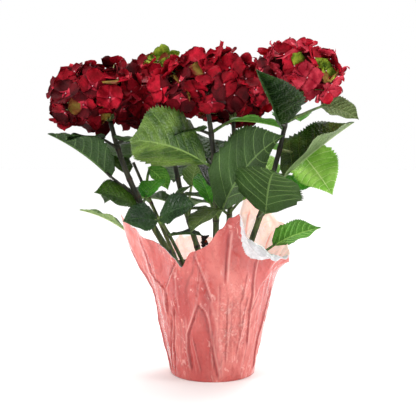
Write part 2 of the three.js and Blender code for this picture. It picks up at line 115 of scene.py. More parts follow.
# Where the film lies double: the middle of each place and its half sizes as turn and height, and
# how much deeper it looks there.
DOUBLED = [
    (238, 112, 13, 34, 0.9), (244, 46, 16, 40, 0.5), (266, 84, 6, 56, 0.6), (283, 200, 9, 40, 0.8),
    (216, 60, 8, 60, 0.4), (330, 90, 10, 60, 0.4), (20, 100, 20, 60, 0.5), (90, 80, 16, 50, 0.5),
    (150, 90, 14, 60, 0.5),
]

# Where the film is turned over beside the front peak, so that its lining shows outside: the
# lower line of that flap, as turn and height.
FLAP = [(291.5, 231), (293.2, 206), (295.2, 184), (299, 172), (304, 166), (314, 163), (326, 167)]

POT = {"foot_radius": 55, "rim_radius": 77, "height": 143, "wall": 1.4, "floor": 2,
       "roll_height": 12, "roll_reach": 2.2, "base": 1.5}

SOIL_LEVEL = 129
STEM_FOOT = 129.3

LEAF = {
    "width": 0.66, "fold": 14, "droop": 30, "stalk": 1.7, "rib_share": 0.1,
    "pairs": 8, "rows_per_pair": 6, "columns": 8, "rib": 0.03, "sweep": 0.4, "flare": 0.09,
    "tooth": 0.1, "quilt": 0.018, "ripple": 0.03, "thickness": 0.7, "rib_depth": 1.5,
    "vein": 0.07, "point": 0.62,
}


def leaf_at(tint, joint, stalk, turn, rise, size, **shape):
    """A leaf: its tint, the height of its joint, its stalk as length, turn and rise, then the turn,
    rise and size of its blade. shape is its width, roll, fold or droop, where it isn't LEAF's."""
    return {"tint": tint, "joint": joint, "stalk": stalk, "turn": turn, "rise": rise,
            "size": size, **shape}


def shoot_from(foot, bend, reach, top, girth, green_below, *leaves):
    """A shoot: its foot, the two points that bend it, its top, its thickness at both ends, the
    height up to which it is green, and its leaves."""
    return {"foot": foot, "bend": bend, "reach": reach, "top": top, "girth": girth,
            "green_below": green_below, "leaves": leaves}


SHOOTS = {
    "left": shoot_from(
        (-36, -20), (-75, -24, 195), (-112, -30, 255), (-130, -28, 325), (9, 6.4), 205,
        leaf_at("green", 226, (8, 225, 0), 215, 36, 72, width=0.8, roll=-35),
        leaf_at("bright", 232, (14, 70, 30), 66, 46, 54, droop=40),
        leaf_at("deep", 242, (44, 184, 37), 217, 43, 108, width=0.62, roll=2, fold=32, droop=21),
        leaf_at("green", 266, (20, 104, 16), 128, 40, 50, droop=20),
        leaf_at("deep", 306, (24, 211, 34), 228, 4, 64, droop=14),
        leaf_at("deep", 314, (14, 307, 8), 303, 8, 62, droop=12),
        leaf_at("green", 304, (30, 100, 10), 92, 0, 92, droop=40),
    ),
    "centre": shoot_from(
        (2, -30), (6, -36, 195), (6, -48, 275), (-4, -50, 342), (9, 6.2), 240,
        leaf_at("green", 213, (17, 304, 45), 28, 67, 140, width=0.75, roll=-63, droop=42),
        leaf_at("olive", 219, (19, 299, 32), 225, -5, 64, droop=40),
        leaf_at("bright", 216, (20, 147, 66), 119, 60, 54),
        leaf_at("deep", 256, (12, 148, 21), 136, 60, 60, roll=20),
        leaf_at("silver", 281, (23, 241, 17), 229, 26, 140, width=0.7, roll=-118, fold=-40,
                droop=26),
        leaf_at("deep", 284, (20, 110, 14), 112, 50, 58, droop=20),
        leaf_at("deep", 325, (14, 213, 20), 237, 6, 64, droop=24),
        leaf_at("bright", 327, (33, 32, 30), 14, 2, 74, droop=20),
    ),
    "right": shoot_from(
        (38, 18), (58, 19, 190), (88, 21, 270), (101, 22, 345), (9, 6.2), 225,
        leaf_at("lime", 250, (20, 60, 40), 120, 50, 60),
        leaf_at("green", 210, (65, 274, 10), 275, 76, 98, width=0.89, roll=-27, fold=2, droop=73),
        leaf_at("bright", 268, (20, 68, 3), 348, -2, 66, roll=18, fold=-29, droop=11),
        leaf_at("silver", 272, (16, 333, -21), 10, 41, 126, width=0.87, roll=4, fold=26, droop=8),
        leaf_at("lime", 304, (48, 42, -9), 300, -33, 87, width=0.83, roll=38, fold=29, droop=9),
        leaf_at("deep", 336, (63, 258, 1), 248, 44, 118, width=0.71, roll=-120, fold=58, droop=19),
        leaf_at("bright", 338, (19, 90, 17), 67, 15, 82),
        leaf_at("olive", 341, (64, 30, 22), 6, -4, 60, roll=-36),
    ),
    "back_left": shoot_from(
        (-10, 40), (-28, 46, 190), (-54, 58, 255), (-60, 66, 335), (8.4, 6), 215,
        leaf_at("green", 202, (24, 270, 54), 334, 6, 40),
        leaf_at("green", 206, (37, 221, 66), 337, 9, 44),
        leaf_at("pale", 214, (38, 53, 73), 71, 64, 50),
        leaf_at("green", 212, (30, 150, 30), 150, 20, 84, droop=50),
        leaf_at("deep", 262, (30, 95, 25), 95, 10, 104, droop=50),
        leaf_at("deep", 300, (34, 145, 20), 145, 0, 104, droop=45),
        leaf_at("green", 304, (30, 55, 20), 58, 0, 84, droop=45),
    ),
    "back_right": shoot_from(
        (18, 50), (22, 62, 195), (34, 95, 270), (32, 112, 326), (8.4, 6), 235,
        leaf_at("green", 208, (24, 130, 25), 125, 20, 84, droop=50),
        leaf_at("bright", 212, (20, 310, 40), 310, 40, 44),
        leaf_at("deep", 256, (30, 80, 20), 80, 5, 108, droop=45),
        leaf_at("bright", 300, (30, 12, 15), 14, 0, 100, droop=45),
        leaf_at("deep", 302, (30, 110, 20), 108, 0, 100, droop=45),
    ),
    "side": shoot_from(
        (-42, 22), (-62, 26, 180), (-86, 30, 230), (-110, 34, 286), (6, 4), 240,
        leaf_at("pale", 154, (81, 164, 26), 191, 38, 72, droop=26),
        leaf_at("green", 208, (15, 300, 14), 6, 62, 60),
        leaf_at("bright", 246, (34, 72, 76), 14, -31, 44, droop=36, roll=-46),
        leaf_at("deep", 230, (30, 130, 20), 135, 10, 84, droop=45),
    ),
    "low_front": shoot_from(
        (-26, -40), (-37, -42, 152), (-50, -46, 185), (-67, -50, 212), (5.6, 4), 300,
        leaf_at("deep", 195, (6, 300, 0), 333, 12, 46, droop=20),
        leaf_at("slate", 209, (10, 225, 30), 214, 17, 52, width=0.74, roll=-58),
        leaf_at("slate", 210, (10, 250, 34), 330, 36, 58, width=0.8, roll=50),
    ),
    "low_right": shoot_from(
        (46, -14), (49, -10, 142), (52, -4, 152), (56, 2, 166), (5.6, 4.4), 300,
        leaf_at("bright", 153, (40, 28, 28), 346, 34, 72, width=0.7, roll=-40, droop=24),
    ),
}

# The reds of the florets, each as often as it is dealt out. The last are darker reds that paint
# shade on a bloom's underside.
DUSKY = ["crimson", "ruby", "wine", "crimson", "ruby", "wine", "ruby", "crimson", "maroon"]
PINKER = ["rose", "ruby", "rose", "rose", "rose", "ruby"]
SHADY = ["wine", "crimson", "maroon"]

# Each bloom: centre, radii, how many florets, the share of them that is still green, the turn,
# rise and spread of its greenest places, and its reds. hanging is the turn and rise of florets
# that hang out of it, and shaded the level under which its florets are shady, from -1 to 1.
BLOOMS = {
    "left": {"centre": (-144, -20, 372), "radii": (75, 62, 53), "florets": 42, "green": 0.02,
             "unripe": [(290, 25, 9), (243, -14, 9), (286, -42, 10)], "reds": DUSKY},
    "centre": {"centre": (-1, -62, 390), "radii": (74, 60, 44), "florets": 38, "green": 0.01,
               "unripe": [(256, 10, 11)], "reds": DUSKY},
    "right": {"centre": (115, 30, 409), "radii": (63, 58, 46), "florets": 34, "green": 0.01,
              "unripe": [(316, 2, 20), (262, 24, 9)], "hanging": [(318, -36)], "reds": PINKER,
              "shaded": -1},
    "back_left": {"centre": (-79, 90, 388), "radii": (54, 54, 52), "florets": 44, "green": 0.14,
                  "unripe": [(320, 45, 26), (300, 70, 26)], "reds": DUSKY},
    "back_right": {"centre": (30, 130, 374), "radii": (56, 52, 44), "florets": 36, "green": 0.08,
                   "unripe": [], "reds": DUSKY},
}

FLORET = {
    "reach": 20.5, "reach_spread": 3.2, "lowest": -0.8, "looseness": 0.18, "proud": 5,
    "lean": 1.1, "sepals": 4, "wide": 0.57, "cup": 0.4, "curl": 0.34, "wave": 0.08,
    "thickness": 0.5, "eye": 1.15, "stalk": 0.7, "inner_lift": 0.66, "inner": 18,
    "shaded": -0.3, "hanging_lift": 1.16, "hanging_reach": 21, "hanging_spin": 0.4,
}

SPENT = {"foot": (-14, -28, STEM_FOOT), "top": (-11, -30, 184), "radius": 2, "buds": 22}

# Joints of a stem: how much they swell it, how far, how wide their dark band is and the least way
# from one to the next. Two joints low down carry no leaf.
STEM = {"sides": 20, "steps": 110, "joint_swell": 0.13, "joint_reach": 3.5, "joint_band": 1.1,
        "joint_gap": 9, "bare_joints": (0.08, 0.2), "patches": 14}

# Where each kind's random draws start, and the step from one shoot or bloom to the next.
SEEDS = {"leaves": (211, 29), "stems": (401, 17), "blooms": (101, 37), "spent": (77, 0),
         "compost": (9, 0), "folds": (53, 0)}

# ---------------------------------------------------------------- geometry of the plant


def seeded(kind, index=0):
    """A repeatable sequence of numbers between 0 and 1."""
    first, step = SEEDS[kind]
    state = first + index * step
    while True:
        state = (state * 16807) % 2147483647
        yield state / 2147483647


def heading(turn, rise):
    """The direction with a turn and a rise in degrees."""
    turn, rise = np.radians(turn), np.radians(rise)
    level = np.cos(rise)
    return np.stack([level * np.cos(turn), level * np.sin(turn), np.sin(rise) + 0 * turn], -1)


def unit(vectors):
    return vectors / np.maximum(np.linalg.norm(vectors, axis=-1, keepdims=True), 1e-9)


class Bezier:
    """A smooth curve from its first point to its last, drawn towards those between."""

    def __init__(self, *points):
        self.points = [np.array(point, float) for point in points]

    def at(self, share):
        share = np.asarray(share, float)[..., None]
        rows = self.points
        while len(rows) > 1:
            rows = [a + (b - a) * share for a, b in zip(rows, rows[1:])]
        return rows[0]

    def ahead(self, share):
        share = np.asarray(share, float)
        step = 1e-3
        return unit(self.at(share + step) - self.at(share - step))

    def reaches(self, height):
        """The share of the curve at which it has climbed to a height."""
        low, high = 0.0, 1.0
        for _ in range(30):
            middle = (low + high) / 2
            if self.at(middle)[2] < height:
                low = middle
            else:
                high = middle
        return (low + high) / 2


def stem_curve(shoot):
    return Bezier((*shoot["foot"], STEM_FOOT), shoot["bend"], shoot["reach"], shoot["top"])


def midrib(leaf, root, share):
    """Points of a blade's midrib, which bends down evenly from its first rise."""
    rise = math.radians(leaf["rise"])
    bend = math.radians(leaf.get("droop", LEAF["droop"]))
    now = rise - bend * share
    out = leaf["size"] * (math.sin(rise) - np.sin(now)) / bend
    up = leaf["size"] * (np.cos(now) - math.cos(rise)) / bend
    level = heading(leaf["turn"], 0)
    point = root + out[..., None] * level + up[..., None] * np.array([0, 0, 1])
    return point, heading(leaf["turn"] + 0 * now, np.degrees(now))


def half_width(leaf, share):
    ovate = np.sin(np.pi * np.clip(share, 0, 1) ** 0.86) ** 0.85
    return 0.5 * leaf["size"] * leaf.get("width", LEAF["width"]) * ovate


def leaf_stalk(curve, leaf):
    joint = curve.at(curve.reaches(leaf["joint"]))
    length, turn, rise = leaf["stalk"]
    root = joint + length * heading(turn, rise)
    inner, _ = midrib(leaf, root, np.array(LEAF["rib_share"]))
    return root, Bezier(joint, root, inner)


# ---------------------------------------------------------------- meshes


def sheet(columns, rows, thick):
    """A flat sheet over 0..1 by 0..1, or a closed one with a face at each side, as arrays."""
    mesh = bmesh.new()
    bmesh.ops.create_grid(mesh, x_segments=columns, y_segments=rows, size=0.5)
    bmesh.ops.translate(mesh, verts=mesh.verts, vec=(0.5, 0.5, 0))
    if thick:
        bmesh.ops.solidify(mesh, geom=mesh.faces, thickness=1)
        bmesh.ops.recalc_face_normals(mesh, faces=mesh.faces)
    points = np.array([vertex.co for vertex in mesh.verts])
    quads = np.array([[vertex.index for vertex in face.verts] for face in mesh.faces])
    mesh.free()
    side = points[:, 2] - (points[:, 2].min() + points[:, 2].max()) / 2
    return points[:, 0], points[:, 1], np.sign(np.round(side, 3)), quads


class Batch:
    """Many small shapes gathered into one mesh."""

    def __init__(self, name, finishes):
        self.name = name
        self.finishes = finishes
        self.points = []
        self.quads = []
        self.tints = []
        self.count = 0

    def add(self, points, quads, tints):
        """Adds points in millimetres. tints names a finish, or gives an index for each face."""
        points = np.asarray(points).reshape(-1, 3)
        if isinstance(tints, str):
            tints = np.full(len(quads), list(self.finishes).index(tints))
        self.points.append(points * MM)
        self.quads.append(quads + self.count)
        self.tints.append(tints)
        self.count += len(points)

    def tint(self, name):
        return list(self.finishes).index(name)

    def piece(self, slot, *nodes, weld=0.0):
        points = np.concatenate(self.points)
        quads = np.concatenate(self.quads)
        mesh = bpy.data.meshes.new(self.name)
        mesh.vertices.add(len(points))
        mesh.vertices.foreach_set("co", points.astype(np.float32).ravel())
        mesh.loops.add(quads.size)
        mesh.loops.foreach_set("vertex_index", quads.astype(np.int32).ravel())
        mesh.polygons.add(len(quads))
        mesh.polygons.foreach_set("loop_start", np.arange(len(quads), dtype=np.int32) * 4)
        mesh.polygons.foreach_set("material_index", np.concatenate(self.tints).astype(np.int32))
        mesh.update()
        mesh.validate()
        for finish in self.finishes.values():
            mesh.materials.append(finish)
        if weld:
            welded = bmesh.new()
            welded.from_mesh(mesh)
            bmesh.ops.remove_doubles(welded, verts=welded.verts, dist=weld)
            bmesh.ops.dissolve_degenerate(welded, edges=welded.edges, dist=weld)
            bmesh.ops.recalc_face_normals(welded, faces=welded.faces)
            welded.to_mesh(mesh)
            welded.free()
        mesh.shade_smooth()
        return place_piece(self.name, mesh, slot, *nodes)


def place_piece(name, mesh, slot, *nodes):
    """Puts a mesh into the scene as a piece that takes the place of the named nodes."""
    piece = bpy.data.objects.new(name, mesh)
    bpy.context.scene.collection.objects.link(piece)
    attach(piece, "root")
    if nodes:
        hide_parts(*nodes)
    return piece


def tube(batch, curve, radius, sides, steps, tint):
    """A closed round limb along a curve. radius is a number, or a function of share and angle."""
    along, around, _, quads = sheet(steps + 2, sides, False)
    ring = np.round(along * (steps + 2)) - 1
    share = np.clip(ring / steps, 0, 1)
    ends = (ring < 0) | (ring > steps)
    ahead = curve.ahead(share)
    helper = np.where(np.abs(ahead[:, 2:]) > 0.7, [[0, 1, 0]], [[0, 0, 1]])
    across = unit(np.cross(helper, ahead))
    over = np.cross(ahead, across)
    angle = 2 * np.pi * around
    size = radius(share, angle) if callable(radius) else radius
    size = np.where(ends, 0, size)[:, None]
    points = curve.at(share) + size * (
        np.cos(angle)[:, None] * across + np.sin(angle)[:, None] * over
    )
    if callable(tint):
        tint = tint(share[quads].mean(1), points[quads].mean(1))
    batch.add(points, quads, tint)


# ---------------------------------------------------------------- finishes


def tone(red, green, blue):
    """A display colour, 0 to 255, as the linear colour that shaders take."""
    linear = [((c / 255 + 0.055) / 1.055) ** 2.4 if c > 10 else c / 255 / 12.92
              for c in (red, green, blue)]
    return (*linear, 1.0)


class Wire:
    """A socket of a finish that takes part in sums."""

    def __init__(self, finish, socket):
        self.finish = finish
        self.socket = socket

    def sum(self, operation, first, second):
        return self.finish.add("ShaderNodeMath", {"operation": operation}, {0: first, 1: second})

    def __add__(self, other):
        return self.sum("ADD", self, other)

    def __sub__(self, other):
        return self.sum("SUBTRACT", self, other)

    def __rsub__(self, other):
        return self.sum("SUBTRACT", other, self)

    def __mul__(self, other):
        return self.sum("MULTIPLY", self, other)

    __radd__ = __add__
    __rmul__ = __mul__


class Finish:
    """A material and its shader nodes."""

    def __init__(self, name, base, roughness, **fixed):
        self.material = bpy.data.materials.new(name)
        self.material.use_nodes = True
        self.nodes = self.material.node_tree.nodes
        self.links = self.material.node_tree.links
        self.shader = self.nodes["Principled BSDF"]
        self.place = self.add("ShaderNodeTexCoord", {}, {}, "Object")
        self.set("Base Color", base)
        self.set("Roughness", roughness)
        for socket, value in fixed.items():
            self.set(socket.replace("_", " "), value)

    def add(self, kind, settings, inputs, output=0):
        node = self.nodes.new(kind)
        for key, value in settings.items():
            setattr(node, key, value)
        for key, value in inputs.items():
            self.join(node.inputs[key], value)
        return Wire(self, node.outputs[output])

    def join(self, socket, value):
        if isinstance(value, Wire):
            self.links.new(value.socket, socket)
        else:
            socket.default_value = value

    def set(self, socket, value):
        self.join(self.shader.inputs[socket], value)

    def noise(self, scale, detail=3.0, stretch=(1, 1, 1), distortion=0.0):
        """Noise from 0 to 1. scale is in turns per metre."""
        place = self.add("ShaderNodeMapping", {}, {"Vector": self.place, "Scale": stretch})
        inputs = {"Vector": place, "Scale": scale, "Detail": detail, "Distortion": distortion}
        return self.add("ShaderNodeTexNoise", {}, inputs)

    def cells(self, scale, stretch=(1, 1, 1), distance="EUCLIDEAN"):
        place = self.add("ShaderNodeMapping", {}, {"Vector": self.place, "Scale": stretch})
        return self.add("ShaderNodeTexVoronoi", {"distance": distance},
                        {"Vector": place, "Scale": scale})

    def ridge(self, scale, stretch, distortion, width):
        """1 along wandering lines, falling to 0 within a width given as a share of the noise."""
        away = self.noise(scale, 0.8, stretch, distortion) - 0.5
        away = self.add("ShaderNodeMath", {"operation": "ABSOLUTE"}, {0: away})
        return self.limit(away, width, 0.0)

    def limit(self, value, low, high):
        """Stretches the range low to high over 0 to 1."""
        inputs = {"Value": value, "From Min": low, "From Max": high}
        return self.add("ShaderNodeMapRange", {"interpolation_type": "SMOOTHSTEP"}, inputs)

    def mix(self, factor, first, second):
        settings = {"data_type": "RGBA"}
        return self.add("ShaderNodeMix", settings, {0: factor, 6: first, 7: second}, 2)

    def own(self, attribute):
        return self.add("ShaderNodeAttribute", {"attribute_name": attribute}, {}, "Fac")

    def bump(self, height, distance, strength=1.0):
        """Relief whose height, from 0 to 1, stands for a distance in metres."""
        inputs = {"Height": height, "Distance": distance, "Strength": strength}
        self.set("Normal", self.add("ShaderNodeBump", {}, inputs))


def leaf_finish(name, dark, light, roughness, glow):
    finish = Finish(name, light, roughness, Specular_IOR_Level=0.34, Emission_Strength=glow)
    mottle = finish.limit(finish.noise(26, 3), 0.36, 0.64)
    mesh = finish.limit(finish.cells(330), 0.2, 0.75)
    colour = finish.mix(mottle, dark, light)
    colour = finish.mix(0.3 * mesh, colour, dark)
    finish.set("Base Color", colour)
    if glow:
        finish.set("Emission Color", colour)
    finish.set("Roughness", roughness + 0.14 * finish.noise(160, 2))
    finish.bump(1 - mesh, 0.0009, 0.7)
    return finish.material


def petal_finish(name, dark, light):
    finish = Finish(name, light, 0.6, Specular_IOR_Level=0.1)
    mottle = finish.limit(finish.noise(70, 3), 0.34, 0.66)
    streak = finish.noise(420, 3)
    colour = finish.mix(mottle, dark, light)
    finish.set("Base Color", finish.mix(finish.limit(streak, 0.45, 0.75) * 0.45, colour, dark))
    finish.bump(streak, 0.0008, 0.6)
    return finish.material


def bark_finish(name, dark, light):
    finish = Finish(name, light, 0.55)
    streak = finish.noise(260, 4, (1, 1, 0.16))
    fleck = finish.limit(finish.cells(420, (1, 1, 0.5)), 0.12, 0.3)
    finish.set("Base Color", finish.mix(finish.limit(streak, 0.35, 0.7) * fleck, dark, light))
    finish.set("Roughness", 0.42 + 0.25 * streak)
    finish.bump(streak + 0.4 * fleck, 0.0006, 0.7)
    return finish.material


# Each leaf tint: its upper face in shade and in light, the veins there, its underside and ribs.
# bright, lime and pale are lighter greens that paint light coming through backlit leaves; silver is
# a grey-green that paints sheen on glossy leaves.
LEAF_TONES = {
    "deep": [(16, 42, 4), (40, 74, 12), (52, 86, 24), (44, 74, 26), (82, 112, 56)],
    "slate": [(20, 48, 18), (46, 78, 34), (56, 88, 44), (50, 78, 42), (80, 108, 68)],
    "green": [(32, 62, 6), (68, 104, 20), (56, 90, 18), (60, 92, 36), (106, 136, 72)],
    "silver": [(42, 74, 14), (108, 138, 56), (118, 146, 72), (124, 146, 96), (150, 168, 118)],
    "olive": [(58, 80, 32), (92, 112, 52), (128, 146, 84), (104, 122, 68), (142, 156, 100)],
    "bright": [(34, 108, 14), (78, 158, 36), (116, 180, 66), (84, 150, 40), (140, 190, 84)],
    "lime": [(118, 172, 60), (168, 208, 100), (204, 230, 150), (150, 196, 84), (200, 226, 146)],
    "pale": [(84, 118, 52), (126, 158, 80), (166, 192, 122), (130, 160, 90), (174, 196, 134)],
}

# Light that comes through the thinnest leaves.
LEAF_GLOW = {"lime": 0.3, "bright": 0.1, "pale": 0.1}

leaf_finishes = {}
for leaf_tint, (shade, light, vein, under, rib) in LEAF_TONES.items():
    faces = {"top": (shade, light, 0.32), "vein": (vein, vein, 0.45),
             "under": ([0.8 * c for c in under], under, 0.6), "rib": (rib, rib, 0.55)}
    leaf_finishes[leaf_tint] = {
        face: leaf_finish(f"leaf_{leaf_tint}_{face}", tone(*first), tone(*second), roughness,
                          LEAF_GLOW.get(leaf_tint, 0.0))
        for face, (first, second, roughness) in faces.items()
    }

# Petals and bark: their tones in shade and in light.
PETAL_TONES = {
    "crimson": [(108, 5, 18), (168, 12, 34)],
    "ruby": [(136, 7, 24), (196, 24, 48)],
    "wine": [(70, 4, 12), (124, 8, 26)],
    "maroon": [(62, 5, 11), (100, 8, 20)],
    "rose": [(166, 26, 48), (222, 70, 88)],
    "lime": [(88, 116, 26), (160, 180, 56)],
    "flushed": [(116, 40, 26), (140, 120, 50)],
}
BARK_TONES = {
    "stalk_green": [(66, 96, 40), (116, 146, 68)],
    "stalk_pale": [(140, 160, 90), (190, 204, 140)],
    "stem_green": [(48, 62, 26), (98, 112, 52)],
    "stem_dark": [(26, 26, 16), (60, 58, 38)],
    "stem_node": [(24, 12, 12), (74, 46, 34)],
    "spent_bud": [(14, 7, 8), (56, 26, 22)],
}
petal_finishes = {name: petal_finish(f"petal_{name}", tone(*shade), tone(*light))
                  for name, (shade, light) in PETAL_TONES.items()}
barks = {name: bark_finish(name, tone(*shade), tone(*light))
         for name, (shade, light) in BARK_TONES.items()}
eye_finish = petal_finish("floret_eye", tone(226, 150, 164), tone(248, 214, 216))
bud_tip = petal_finish("bud_tip", tone(200, 70, 40), tone(236, 110, 70))


def film_finish(name, doubled, plain, lit, pale, fold, glow=0.0):
    """Crinkled plastic film: deeper where it lies double, with painted shade in its folds from the
    fold tone and painted highlights on its ridges from the pale tone.
    """
    film = Finish(name, plain, 0.3, Coat_Roughness=0.08, Emission_Strength=glow)
    broad = film.limit(film.noise(17, 3, (1, 1, 0.5)), 0.4, 0.66)
    soft = film.ridge(34, (1, 1, 0.5), 0.7, 0.2)
    fine = film.noise(190, 2, (1, 1, 0.8), 1.2)
    facet = film.cells(64, (1, 1, 0.5))
    fleck = film.limit(film.noise(120, 3, (1, 1, 0.6), 1.6), 0.56, 0.7)
    etched_highlight = film.limit(film.noise(260, 2, (1, 1, 0.8), 0.8), 0.5, 0.64)
    streak = film.ridge(34, (1, 1, 0.16), 0.5, 0.03)
    loose = film.limit(film.noise(31, 2), 0.46, 0.62)
    stamped = film.own("stamped") * film.limit(film.noise(48, 2), 0.3, 0.6)
    squares = film.cells(270, (1, 1, 1), "CHEBYCHEV")
    colour = film.mix(0.8 * broad, plain, lit)
    colour = film.mix(film.own("doubled"), colour, doubled)
    colour = film.mix(0.3 * film.limit(fine, 0.5, 0.3), colour, doubled)
    colour = film.mix(0.3 * streak, colour, doubled)
    # The pale tone paints highlights: flecks where the film is loose, the stamped panel's etched
    # lines and the gleam mark. The fold tone paints shade in the creases.
    colour = film.mix(0.6 * loose * fleck, colour, pale)
    colour = film.mix(0.6 * stamped * etched_highlight, colour, pale)
    colour = film.mix(film.own("gleam"), colour, pale)
    colour = film.mix(film.own("crease_shade"), colour, fold)
    silver = film.mix(film.limit(fine, 0.3, 0.7), tone(206, 203, 205), tone(226, 225, 228))
    colour = film.mix(film.limit(film.own("flap"), 0.3, 0.7), colour, silver)
    film.set("Base Color", colour)
    film.set("Emission Color", colour)
    film.set("Roughness", 0.22 + 0.16 * broad)
    film.set("Coat Weight", 0.9 - 0.4 * broad)
    relief = 0.6 * soft + 0.9 * facet + (0.25 + 0.45 * stamped) * fine
    film.bump(relief + 0.6 * stamped * squares, 0.0042, 0.9)
    return film.material


film_outside = film_finish("film_outside", tone(176, 44, 41), tone(196, 72, 65),
                           tone(222, 126, 116), tone(246, 188, 178), tone(158, 26, 26), 0.06)
film_lining = film_finish("film_lining", tone(176, 176, 178), tone(212, 212, 214),
                          tone(240, 240, 242), tone(250, 250, 250), tone(170, 150, 148))
film_glow = film_finish("film_glow", tone(246, 186, 174), tone(251, 216, 206),
                        tone(254, 234, 228), tone(255, 244, 240), tone(240, 150, 136), 0.62)

pot_finish = Finish("nursery_pot", tone(90, 56, 44), 0.5)
pot_finish.set("Roughness", 0.42 + 0.2 * pot_finish.noise(90, 3))
pot_finish.bump(pot_finish.noise(700, 2), 0.0003, 0.4)

peat = Finish("moist_peat", tone(46, 32, 24), 0.95)
crumb = peat.cells(320)
peat_mix = peat.limit(peat.noise(210, 5), 0.3, 0.75)
peat.set("Base Color", peat.mix(peat_mix, tone(26, 17, 12), tone(82, 58, 42)))
peat.bump(crumb + peat.noise(600, 4), 0.0016, 0.9)

# ---------------------------------------------------------------- leaves and their stalks


def blade_grid():
    """The sheet of a blade: its rows follow the side veins and its columns the midrib."""
    pairs, per_pair, columns = LEAF["pairs"], LEAF["rows_per_pair"], LEAF["columns"]
    rows = pairs * per_pair
    along, around, side, quads = sheet(rows, columns * 2, True)
    row = np.round(along * rows).astype(int)
    column = np.round(around * columns * 2).astype(int) - columns
    steps = np.array([0] + list(np.linspace(LEAF["vein"], 1, per_pair)[:-1]))
    share = (row // per_pair + steps[row % per_pair]) / pairs
    reach = np.abs(column)
    across = np.where(reach == 0, 0, LEAF["rib"] + (reach - 1) / (columns - 1) * (1 - LEAF["rib"]))
    centre_row = row[quads].min(1)
    is_vein = (centre_row % per_pair == 0) & (centre_row < rows - 1)
    is_rib = np.abs(column[quads]).max(1) <= 1
    is_top = side[quads].mean(1) > 0
    return {
        "share": share, "across": across, "sign": np.sign(column), "side": side, "quads": quads,
        "row": row, "edge": reach == columns, "vein": is_vein | is_rib, "top": is_top,
        "between": np.sin(np.pi * steps[row % per_pair]), "rib_line": reach == 0,
    }


GRID = blade_grid()


def make_blade(batch, leaf, root, random):
    """One leaf blade: toothed, veined, quilted and a little wavy."""
    share, across, sign, side = (GRID[key] for key in ("share", "across", "sign", "side"))
    phase, tilt, twist = (next(random) for _ in range(3))
    # Side veins leave the midrib and sweep forward, and every second row ends in a tooth.
    sweep = LEAF["sweep"] * (1 - share) * (1 - np.exp(-share / LEAF["flare"]))
    here = share + sweep * across ** 1.2
    tooth = GRID["edge"] & (GRID["row"] % 2 == 1)
    here = np.clip(here + tooth * 0.012, 0, 1)
    out = across * (1 + LEAF["tooth"] * tooth)
    centre, ahead = midrib(leaf, root, here)
    sideways = heading(leaf["turn"] + 90, 0)
    up = np.cross(ahead, sideways)
    roll = np.radians(leaf.get("roll", 0) + 10 * (twist - 0.5) * here)[:, None]
    fold = math.radians(leaf.get("fold", LEAF["fold"]))
    to_side = sideways * np.cos(roll) + up * np.sin(roll)
    normal = up * np.cos(roll) - sideways * np.sin(roll)
    half = half_width(leaf, here) * out * (1 - LEAF["point"] * np.clip(here * 4 - 3, 0, 1) ** 1.5)
    quilt = LEAF["quilt"] * leaf["size"] * GRID["between"] * np.sin(np.pi * across ** 0.8)
    wave = np.sin(2 * np.pi * (2.2 * here + phase) + sign * (1 + tilt))
    ripple = LEAF["ripple"] * leaf["size"] * across ** 2 * wave * np.sin(np.pi * here)
    thin = LEAF["thickness"] / 2 * np.where(GRID["edge"], 0.4, 1)
    keel = LEAF["rib_depth"] * (1 - 0.8 * here) * GRID["rib_line"] * (side < 0)
    lift = half * math.sin(fold) + quilt + ripple + side * thin - keel
    points = (
        centre
        + to_side * (sign * half * math.cos(fold))[:, None]
        + normal * lift[:, None]
    )
    face = np.where(GRID["top"], np.where(GRID["vein"], "vein", "top"),
                    np.where(GRID["vein"], "rib", "under"))
    names = [f"{leaf['tint']}_{kind}" for kind in face]
    order = {name: index for index, name in enumerate(batch.finishes)}
    batch.add(points, GRID["quads"], np.array([order[name] for name in names]))


def make_foliage():
    """The leaves of each shoot as one piece, and all the leaf stalks as another."""
    stalks = Batch("leaf_stalks", {"green": barks["stalk_green"], "pale": barks["stalk_pale"],
                                   "dark": barks["stem_dark"]})
    for index, (name, shoot) in enumerate(SHOOTS.items()):
        tints = sorted({leaf["tint"] for leaf in shoot["leaves"]})
        finishes = {f"{tint}_{face}": leaf_finishes[tint][face]
                    for tint in tints for face in ("top", "vein", "under", "rib")}
        blades = Batch(f"foliage_{name}", finishes)
        random = seeded("leaves", index)
        curve = stem_curve(shoot)
        for leaf in shoot["leaves"]:
            root, path = leaf_stalk(curve, leaf)
            make_blade(blades, leaf, root, random)
            thick = LEAF["stalk"]
            dark = leaf["tint"] in ("deep", "slate") and leaf["joint"] > shoot["green_below"]
            tint = "dark" if dark else "pale" if leaf["tint"] in ("pale", "lime") else "green"
            tube(stalks, path, lambda share, _: thick * (1.5 - 0.6 * share ** 0.5), 10, 14, tint)
        blades.piece("leaf", f"leaves_{name}", weld=2e-6)
    stalks.piece("leaf", weld=1e-6)


# ---------------------------------------------------------------- stems


